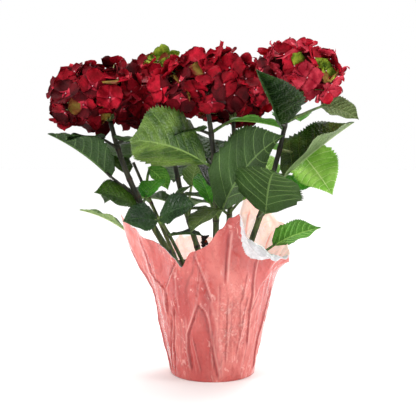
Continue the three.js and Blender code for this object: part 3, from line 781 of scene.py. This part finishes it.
def make_stems():
    """Stems with thickened joints, green low down and dark above."""
    stems = Batch("stems", {key: barks[f"stem_{key}"] for key in ("green", "dark", "node")})
    green, dark, node = (stems.tint(key) for key in ("green", "dark", "node"))
    for index, shoot in enumerate(SHOOTS.values()):
        curve = stem_curve(shoot)
        thick, thin = (girth / 2 for girth in shoot["girth"])
        length = np.linalg.norm(curve.points[3] - curve.points[0])
        joints = list(STEM["bare_joints"])
        for leaf in shoot["leaves"]:
            joint = curve.reaches(leaf["joint"])
            if all(abs(joint - other) * length > STEM["joint_gap"] for other in joints):
                joints.append(joint)
        random = seeded("stems", index)
        phase = next(random) * 6

        def radius(share, angle):
            size = thick + (thin - thick) * share
            for joint in joints:
                away = (share - joint) * length / STEM["joint_reach"]
                size = size + STEM["joint_swell"] * thick * np.exp(-(away ** 2))
            ribs = 0.035 * np.sin(6 * angle + phase) + 0.03 * np.sin(11 * angle + 40 * share)
            return size * (1 + ribs)

        def tint(share, place):
            patchy = STEM["patches"] * np.sin(37 * share + phase) * np.sin(place[:, 0] + phase)
            result = np.where(place[:, 2] + patchy > shoot["green_below"], dark, green)
            for joint in joints:
                near = np.abs(share - joint) * length < STEM["joint_band"]
                result = np.where(near, node, result)
            return result

        tube(stems, curve, radius, STEM["sides"], STEM["steps"], tint)
    stems.piece("stem", *[f"stem_{name}" for name in SHOOTS], weld=1e-6)


# ---------------------------------------------------------------- blooms


def keeps_to_space(points, own):
    """Whether points are nearer to their own bloom than to any other, measured in radii."""
    def reach(bloom):
        return np.linalg.norm((points - bloom["centre"]) / np.array(bloom["radii"]), axis=-1)
    return all(bloom is own or np.all(reach(own) < reach(bloom)) for bloom in BLOOMS.values())


def floret_places(count, random):
    """Places of a bloom's florets: a spiral over an egg shape, open underneath."""
    golden = math.pi * (3 - math.sqrt(5))
    for i in range(count):
        level = 1 - (1 - FLORET["lowest"]) * ((i + 0.5) / count)
        ring = math.sqrt(1 - level * level)
        direction = np.array([ring * math.cos(golden * i), ring * math.sin(golden * i), level])
        lift = 1 - FLORET["looseness"] * next(random)
        reach = FLORET["reach"] + FLORET["reach_spread"] * (next(random) * 2 - 1)
        spin = next(random) * 2 * math.pi
        lean = np.array([next(random) - 0.5 for _ in range(3)])
        yield {"direction": direction, "lift": lift, "reach": reach, "spin": spin, "lean": lean}


# A sepal's outline: at each row, how far out it is and what share of the full width it has.
SEPAL_REACH = [0, 0.24, 0.5, 0.74, 0.92, 1]
SEPAL_WIDTH = [0.1, 0.62, 0.98, 0.96, 0.62, 0.2]
SEPAL_ROWS = len(SEPAL_REACH) - 1
SEPAL_STEPS = np.linspace(0, 1, SEPAL_ROWS + 1)
SEPAL_COLUMNS = 4


def make_sepal(batch, middle, facing, outward, reach, random, tint, heart):
    """One rounded sepal, cupped along its middle and wavy at its rim."""
    along, around, side, quads = sheet(SEPAL_ROWS, SEPAL_COLUMNS, True)
    share = np.interp(along, SEPAL_STEPS, SEPAL_REACH)
    across = around * 2 - 1
    phase, tip, bend = (next(random) for _ in range(3))
    sideways = np.cross(facing, outward)
    half = FLORET["wide"] * reach * np.interp(along, SEPAL_STEPS, SEPAL_WIDTH) * (0.92 + 0.2 * tip)
    blunt = 1 - 0.16 * across ** 2 * share
    cup = FLORET["cup"] * (1.2 * bend - 0.1) * share ** 2
    curl = FLORET["curl"] * (0.3 + 0.7 * tip) * across ** 2 * share
    wave = FLORET["wave"] * np.sin(3 * np.pi * across + 6 * phase) * share
    overlap = 0.07 * across
    lift = reach * (cup + curl * 0.5 + wave + overlap) + side * FLORET["thickness"] / 2
    points = (
        middle
        + (reach * share * blunt)[:, None] * outward
        + (half * across)[:, None] * sideways
        + lift[:, None] * facing
    )
    tints = np.full(len(quads), batch.tint(tint))
    if heart:
        inner = (share[quads].mean(1) < 0.2) & (side[quads].mean(1) > 0)
        tints = np.where(inner, batch.tint("rose"), tints)
    batch.add(points, quads, tints)


def floret_tints(bloom, random, level):
    """The tints of a floret's four sepals: reds, with painted shade underneath, and a few still
    green.
    """
    chance, pick = next(random), next(random)
    if chance < bloom["green"]:
        return ["lime" if next(random) < 0.55 else "flushed" for _ in range(4)]
    reds = bloom["reds"] if level > bloom.get("shaded", FLORET["shaded"]) else SHADY
    base = reds[int(pick * len(reds))]
    return [base if next(random) < 0.8 else reds[int(next(random) * len(reds))] for _ in range(4)]


def greener(tint, bloom, point, random):
    """A sepal's tint, turned green where the sepal lies in one of its bloom's unripe places."""
    way = unit((point - bloom["centre"]) / np.array(bloom["radii"]))
    for turn, rise, spread in bloom["unripe"]:
        if np.dot(way, heading(turn, rise)) > math.cos(math.radians(spread)):
            tint = "lime" if next(random) < 0.03 * spread - 0.1 else "flushed"
    return tint


def make_blooms():
    """Each bloom's sepals as one piece, and the stalks and pale eyes of all as two more."""
    stalks = Batch("floret_stalks", {"pale": barks["stalk_pale"], "green": barks["stalk_green"],
                                     "dark": barks["stem_dark"]})
    eyes = Batch("floret_eyes", {"eye": eye_finish})
    bead = sheet(6, 4, False)
    for index, (name, bloom) in enumerate(BLOOMS.items()):
        random = seeded("blooms", index)
        heads = Batch(f"florets_{name}", petal_finishes)
        centre = np.array(bloom["centre"], float)
        radii = np.array(bloom["radii"], float)
        shoot = SHOOTS[name]
        neck = np.array(shoot["top"], float)
        ahead = stem_curve(shoot).ahead(np.array(1.0))
        crown = neck + ahead * np.linalg.norm(centre - neck) * 0.35
        path = Bezier(neck - ahead, (neck + crown) / 2, crown)
        tube(stalks, path, shoot["girth"][1] / 2.1, 10, 6, "dark")
        outer = list(floret_places(bloom["florets"], random))
        inner = list(floret_places(FLORET["inner"], random))
        for turn, rise in bloom.get("hanging", []):
            outer.append({"direction": heading(turn, rise), "lift": FLORET["hanging_lift"],
                          "reach": FLORET["hanging_reach"], "spin": FLORET["hanging_spin"],
                          "lean": np.zeros(3)})
        for place in inner:
            place["lift"] *= FLORET["inner_lift"]
            place["inner"] = True
        for place in outer + inner:
            hidden = place.get("inner", False)
            direction = place["direction"]
            at = centre + direction * (radii - FLORET["proud"]) * place["lift"]
            facing = unit(unit(direction / radii) + FLORET["lean"] * place["lean"])
            helper = np.array([1.0, 0, 0]) if abs(facing[2]) > 0.9 else np.array([0, 0, 1.0])
            level_axis = unit(np.cross(helper, facing))
            other = np.cross(facing, level_axis)
            rim = np.array([at + place["reach"] * (math.cos(a) * level_axis + math.sin(a) * other)
                            for a in np.linspace(0, 2 * math.pi, 8)])
            if not keeps_to_space(rim, bloom):
                continue
            middle = at - facing * 2
            tints = floret_tints(bloom, random, direction[2])
            # Florets inside the head are mostly maroon: painted shade in the gaps between the outer
            # florets.
            if hidden:
                tints = ["flushed" if next(random) < 0.2 else "maroon"] * 4
            heart = not hidden and next(random) < 0.5
            sepals = FLORET["sepals"]
            for k in range(sepals):
                angle = place["spin"] + 2 * math.pi * (k + 0.12 * (next(random) - 0.5)) / sepals
                outward = math.cos(angle) * level_axis + math.sin(angle) * other
                reach = place["reach"] * (0.88 + 0.2 * next(random))
                tint = tints[k]
                if not hidden:
                    tint = greener(tint, bloom, middle + 0.6 * reach * outward, random)
                make_sepal(heads, middle, facing, outward, reach, random, tint, heart)
            low = unit(direction * radii)
            path = Bezier(crown, centre - 0.2 * radii * [0, 0, 1] + low * radii * 0.3, middle)
            tube(stalks, path, FLORET["stalk"], 5, 6, "pale" if next(random) < 0.6 else "green")
            if not hidden:
                along, around, _, quads = bead
                polar, round_angle = np.pi * along, 2 * np.pi * around
                ball = (
                    np.cos(polar)[:, None] * facing
                    + (np.sin(polar) * np.cos(round_angle))[:, None] * level_axis
                    + (np.sin(polar) * np.sin(round_angle))[:, None] * other
                )
                eyes.add(middle + facing * 1.2 + FLORET["eye"] * ball, quads, "eye")
        heads.piece("bloom", f"bloom_{name}", weld=2e-6)
    stalks.piece("stem", weld=1e-6)
    eyes.piece("bloom", weld=1e-6)


def make_spent():
    """A spent shoot: a dark stub with a knot of dry buds."""
    knot = Batch("spent_buds", {"bud": barks["spent_bud"], "tip": bud_tip})
    foot, top = np.array(SPENT["foot"], float), np.array(SPENT["top"], float)
    random = seeded("spent")
    tube(knot, Bezier(foot, (foot + top) / 2 + [0.6, 0, 0], top), SPENT["radius"], 10, 12, "bud")
    for i in range(SPENT["buds"]):
        turn, rise = 137.5 * i, -30 + 110 * next(random)
        away = heading(turn, rise)
        base = top + [0, 0, -7 + 0.5 * i]
        end = base + away * (5 + 3 * next(random))
        swell = 1.5 + 0.6 * next(random)
        tube(knot, Bezier(base, (base + end) / 2, end),
             lambda share, _: 0.5 + swell * np.sin(np.pi * np.clip(share, 0.05, 0.9)) ** 1.4, 8, 8,
             "tip" if i == 5 else "bud")
    knot.piece("spent_shoot", "spent_shoot", weld=1e-6)


# ---------------------------------------------------------------- pot, soil and cover


def turned(name, outline, steps):
    """A shape swept by turning an outline of radii and heights about the upright axis."""
    shape = bmesh.new()
    points = [shape.verts.new((radius * MM, 0, height * MM)) for radius, height in outline]
    edges = [shape.edges.new(pair) for pair in zip(points, points[1:])]
    bmesh.ops.spin(shape, geom=points + edges, axis=(0, 0, 1), cent=(0, 0, 0),
                   angle=2 * math.pi, steps=steps, use_merge=True)
    bmesh.ops.remove_doubles(shape, verts=shape.verts, dist=1e-6)
    bmesh.ops.recalc_face_normals(shape, faces=shape.faces)
    mesh = bpy.data.meshes.new(name)
    shape.to_mesh(mesh)
    shape.free()
    mesh.shade_smooth()
    return mesh


def pot_radius(height):
    """The pot's outer radius at a height."""
    share = (height - POT["base"]) / POT["height"]
    return POT["foot_radius"] + (POT["rim_radius"] - POT["foot_radius"]) * share


def make_pot():
    """The nursery pot: a tapered wall with a rolled rim, and a floor."""
    base = POT["base"]
    top = base + POT["height"]
    roll = top - POT["roll_height"]
    reach = POT["roll_reach"]
    outline = [
        (0, base), (POT["foot_radius"] - 2, base), (POT["foot_radius"], base + 2),
        (pot_radius(roll), roll), (pot_radius(roll) + reach, roll + 0.6),
        (pot_radius(top - 1) + reach, top - 1), (pot_radius(top) + reach - 1.2, top),
        (POT["rim_radius"] - POT["wall"], top), (pot_radius(roll) - POT["wall"], roll),
        (POT["foot_radius"] - POT["wall"], base + POT["floor"]), (0, base + POT["floor"]),
    ]
    mesh = turned("nursery_pot", outline, 72)
    mesh.materials.append(pot_finish.material)
    place_piece("nursery_pot", mesh, "pot", "pot")


def make_soil():
    """The compost: a filled cone whose face is crumbly."""
    bottom = POT["base"] + POT["floor"] + 0.3
    inside = POT["wall"] + 0.6
    rings = 26
    rim = pot_radius(SOIL_LEVEL) - inside
    face = [(rim * (1 - i / rings), SOIL_LEVEL) for i in range(rings + 1)]
    outline = [(0, bottom), (pot_radius(bottom) - inside, bottom), *face]
    mesh = turned("compost", outline, 96)
    lumps = seeded("compost")
    for vertex in mesh.vertices:
        if vertex.co.z > (SOIL_LEVEL - 1) * MM and vertex.co.xy.length < (rim - 1) * MM:
            vertex.co.z += (next(lumps) - 0.6) * 2.2 * MM
    mesh.materials.append(peat.material)
    place_piece("compost", mesh, "soil", "soil")


def smoothed(values, times):
    """Values round a ring, each evened out with its neighbours a few times."""
    for _ in range(times):
        values = (np.roll(values, 1) + 2 * values + np.roll(values, -1)) / 4
    return values


def crumple(turn, height, pitch, climb, seed):
    """Crumpled film's relief, from -1 to 1, with ridges about pitch apart round the pot."""
    ring = COVER["mean_radius"] / pitch
    places = np.stack([ring * np.cos(np.radians(turn)), ring * np.sin(np.radians(turn)),
                       height / climb + seed], -1)
    ridges = np.array([noise.ridged_multi_fractal(place, 0.9, 2.1, 3, 0.9, 1.6)
                       for place in places])
    return np.clip(ridges - 1.1, -1, 1)


def fine_folds():
    """Short fine folds all round the cover, each leaning a little: as in FOLDS, then a mark, the
    strength of the painted shade in its groove and the painted highlight beside it.
    """
    random = seeded("folds")
    for i in range(COVER["fine_folds"]):
        turn = 360 * (i + next(random)) / COVER["fine_folds"]
        low = 6 + 110 * next(random)
        high = low + 24 + 66 * next(random)
        lean = 14 * (next(random) - 0.5)
        depth = 0.6 + next(random)
        width = 2.2 + 1.6 * next(random)
        lap = 1 if next(random) < 0.5 else -1
        mark = 0.3 + 0.3 * next(random)
        yield [(turn, high), (turn + lean, low)], depth, width, lap, mark


def cover_profile(way, edge):
    """The cover's radius and height: way is 0 at the foot, 0.5 at the waist and 1 at the edge."""
    waist = COVER["waist"]
    waist_radius = COVER["foot_radius"] + COVER["slant"] * waist
    low = np.clip(way * 2, 0, 1)
    t = np.clip(way * 2 - 1, 0, 1)
    out = waist_radius + edge["swell"] * (edge["reach"] - waist_radius)
    climbed = waist + edge["climb"]
    wall_radius = COVER["foot_radius"] + COVER["slant"] * waist * low
    flare_radius = (1 - t) ** 2 * waist_radius + 2 * t * (1 - t) * out + t * t * edge["reach"]
    flare_height = (1 - t) ** 2 * waist + 2 * t * (1 - t) * climbed + t * t * edge["height"]
    above = way > 0.5
    return np.where(above, flare_radius, wall_radius), np.where(above, flare_height, waist * low)


def turn_from(middle, turn):
    """How far a turn is from a middle one, from -180 to 180."""
    return np.mod(turn - middle + 180, 360) - 180


def film_relief(turn, height, radius, way):
    """The film's relief in millimetres, and marks from 0 to 1 that its finish takes up."""
    pleat = np.cos(np.radians(turn) * COVER["pleats"]) * COVER["pleat_depth"] * way
    long_crumple = crumple(turn, height, *COVER["long_crumple"])
    short_crumple = crumple(turn, height, *COVER["short_crumple"])
    around = np.mod(turn, 360)
    middle_turn, middle_height, half_turn, half_height = COVER["panel"]
    panel = np.exp(-(((around - middle_turn) / half_turn) ** 4)
                   - ((height - middle_height) / half_height) ** 4)
    settle = np.clip(height / 16, 0, 1)
    relief = pleat + (1.2 * long_crumple + 0.8 * short_crumple * (0.5 + panel)) * settle

    # The crease mark is painted shade along each fold's groove and in the crumples' hollows. The
    # gleam mark is a painted highlight on crumple ridges and beside each fold.
    crease_shade = np.zeros_like(turn)
    gleam = 0.4 * np.clip(long_crumple - 0.25, 0, 1) * settle
    named_folds = [(*fold, 0.9 if fold[1] > 0 else 0.35) for fold in FOLDS]
    for points, depth, width, lap, mark in named_folds + list(fine_folds()):
        line = np.array(points, float)
        line = line[np.argsort(line[:, 1])]
        away = np.radians(turn_from(np.interp(height, line[:, 1], line[:, 0]), turn)) * radius
        inside = np.clip((height - line[0, 1] + 6) / 8, 0, 1) \
            * np.clip((line[-1, 1] + 6 - height) / 8, 0, 1)
        groove = np.exp(-((away / (0.32 * width)) ** 2))
        raised = np.where(away * lap > 0, np.exp(-np.abs(away) / width), 0)
        shape = raised - 0.5 * groove if lap else -groove
        relief = relief + inside * depth * shape
        crease_shade = np.maximum(crease_shade, inside * groove * mark)
        beside = away - (lap or 1) * 0.62 * width
        gleam = np.maximum(gleam, 0.6 * mark * inside * np.exp(-((beside / (0.22 * width)) ** 2)))
    crease_shade = np.clip(crease_shade + 0.15 * np.clip(-long_crumple, 0, 1), 0, 1)

    doubled = np.zeros_like(turn)
    for middle_turn, middle_height, half_turn, half_height, amount in DOUBLED:
        away = turn_from(middle_turn, turn)
        patch = np.exp(-((away / half_turn) ** 4) - ((height - middle_height) / half_height) ** 4)
        doubled = np.maximum(doubled, amount * patch)

    flap = np.clip((height - np.interp(around, *zip(*FLAP))) / COVER["fringe"], 0, 1)
    flap = flap * ((around > FLAP[0][0]) & (around < FLAP[-1][0]))
    return relief, {"crease_shade": crease_shade, "stamped": panel, "doubled": doubled, "gleam": gleam,
                    "flap": flap}


def make_cover():
    """The film cover: one sheet round the pot, with an outer face and a lining."""
    turns, seam = COVER["turns"], COVER["seam"]
    way, round_share, side, quads = sheet(COVER["steps"], turns, True)
    turn = round_share * 360 + seam
    # The edge's values at each of the sheet's turns.
    rows = [(*row, COVER["swell"])[:5] for row in COVER_EDGE]
    table = np.array(rows + [(rows[0][0] + 360, *rows[0][1:])], float)
    fine = np.arange(turns) * 360 / turns + seam
    index = np.round(round_share * turns).astype(int) % turns
    edge = {}
    for column, key in enumerate(("reach", "height", "climb", "swell"), 1):
        edge[key] = smoothed(np.interp(fine, table[:, 0], table[:, column]), 3)[index]
    edge["height"] = edge["height"] + COVER["fringe"] * np.sin(
        np.radians(turn) * 23 + 2 * np.sin(np.radians(turn) * 9))

    radius, height = cover_profile(way, edge)
    step = 0.004
    low, high = (np.stack(cover_profile(way + move, edge), -1) for move in (-step, step))
    run = unit(high - low)
    relief, marks = film_relief(turn, height, radius, way)
    shift = relief + (side - 1) / 2 * COVER["wall"]
    points = heading(turn, 0 * turn) * (radius + run[:, 1] * shift)[:, None]
    points[:, 2] = np.maximum(height - run[:, 0] * shift, 0)

    batch = Batch("film_cover", {"outside": film_outside, "lining": film_lining,
                                 "glow": film_glow})
    centre_turn = np.mod(turn[quads].mean(1), 360)
    behind = (centre_turn < COVER["glow_to"]) | (centre_turn > COVER["glow_from"])
    lining = np.where(behind, batch.tint("glow"), batch.tint("lining"))
    tints = np.where(side[quads].mean(1) > 0, batch.tint("outside"), lining)
    batch.add(points, quads, tints)
    mesh = batch.piece("pot_cover", "pot_cover").data
    for name, values in marks.items():
        mesh.attributes.new(name, "FLOAT", "POINT").data.foreach_set(
            "value", values.astype(np.float32))
    weld_seam(mesh)


def weld_seam(mesh):
    """Joins the ends of the cover's sheet."""
    shape = bmesh.new()
    shape.from_mesh(mesh)
    bmesh.ops.remove_doubles(shape, verts=shape.verts, dist=1e-5)
    shape.to_mesh(mesh)
    shape.free()
    mesh.shade_smooth()


def make_cover_floor():
    """The film under the pot: a thin disc."""
    floor = COVER["floor"]
    foot = COVER["foot_radius"] - COVER["wall"]
    outline = [(0, 0), (foot, 0), (foot, floor), (0, floor)]
    mesh = turned("film_floor", outline, 120)
    mesh.materials.append(film_outside)
    place_piece("film_floor", mesh, "pot_cover")


# ---------------------------------------------------------------- build

make_pot()
make_soil()
make_cover()
make_cover_floor()
make_stems()
make_foliage()
make_blooms()
make_spent()

# ---------------------------------------------------------------- floor, lights and camera


PLANT_MIDDLE = 0.26

# Each lamp: its turn, rise and distance from the plant's middle, its size and its power.
LAMPS = {"key": (214, 30, 1.5, 0.6, 13), "fill": (342, 18, 1.5, 0.6, 13),
         "back": (60, 30, 1.6, 1.0, 12), "glint": (248, 12, 1.4, 0.14, 1.4)}

# Light from above and a little behind.
SUN = {"power": 2.2, "spread": 60, "lean": -22}

# The backdrop's light on the plant, from 0.2 in front to 0.8 behind. To the camera it is white.
BACKDROP = {"From Min": -0.6, "From Max": 0.8, "To Min": 0.2, "To Max": 0.8}

CAMERA = {"place": (-0.006, -1.151, 0.330), "pitch": 84.8, "lens": 73.56, "sensor": 36}


def hold(name, thing):
    """Puts a floor, a light or a camera into the scene."""
    holder = bpy.data.objects.new(name, thing)
    bpy.context.scene.collection.objects.link(holder)
    return holder


def make_floor():
    mesh = bpy.data.meshes.new("floor")
    shape = bmesh.new()
    bmesh.ops.create_grid(shape, x_segments=1, y_segments=1, size=6)
    shape.to_mesh(mesh)
    shape.free()
    mesh.materials.append(Finish("pale_paper", tone(250, 249, 248), 0.9).material)
    floor = hold("floor", mesh)
    floor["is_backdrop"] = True


def make_lamp(name, turn, rise, distance, size, power):
    """A square soft light that faces the middle of the plant."""
    lamp = bpy.data.lights.new(name, "AREA")
    lamp.size = size
    lamp.energy = power
    holder = hold(name, lamp)
    away = heading(turn, rise)
    holder.location = (*(away[:2] * distance), PLANT_MIDDLE + away[2] * distance)
    holder.rotation_euler = (math.radians(90 - rise), 0, math.radians(turn + 90))


def make_sun():
    sun = bpy.data.lights.new("overhead", "SUN")
    sun.energy = SUN["power"]
    sun.angle = math.radians(SUN["spread"])
    hold("overhead", sun).rotation_euler = (math.radians(SUN["lean"]), 0, 0)


def make_backdrop():
    """A world that looks white, but lights the plant less than it shows and most from behind."""
    world = bpy.data.worlds.new("studio")
    world.use_nodes = True
    sky = world.node_tree
    backdrop = sky.nodes["Background"]
    backdrop.inputs["Color"].default_value = (1, 1, 1, 1)
    way = sky.nodes.new("ShaderNodeTexCoord")
    parts = sky.nodes.new("ShaderNodeSeparateXYZ")
    behind = sky.nodes.new("ShaderNodeMapRange")
    for key, value in BACKDROP.items():
        behind.inputs[key].default_value = value
    path = sky.nodes.new("ShaderNodeLightPath")
    level = sky.nodes.new("ShaderNodeMapRange")
    level.inputs["To Max"].default_value = 1.0
    sky.links.new(way.outputs["Generated"], parts.inputs["Vector"])
    sky.links.new(parts.outputs["Y"], behind.inputs["Value"])
    sky.links.new(path.outputs["Is Camera Ray"], level.inputs["Value"])
    sky.links.new(behind.outputs["Result"], level.inputs["To Min"])
    sky.links.new(level.outputs["Result"], backdrop.inputs["Strength"])
    bpy.context.scene.world = world
    bpy.context.scene.view_settings.view_transform = "Standard"


def make_camera():
    camera = bpy.data.cameras.new("camera")
    camera.lens = CAMERA["lens"]
    camera.sensor_width = CAMERA["sensor"]
    holder = hold("camera", camera)
    holder.location = CAMERA["place"]
    holder.rotation_euler = (math.radians(CAMERA["pitch"]), 0, 0)
    bpy.context.scene.camera = holder


make_floor()
for lamp_name, lamp in LAMPS.items():
    make_lamp(lamp_name, *lamp)
make_sun()
make_backdrop()
make_camera()

sizes = {name: [list(corner) for corner in box]
         for name, box in (("cad", cad_box), ("visual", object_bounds()))}
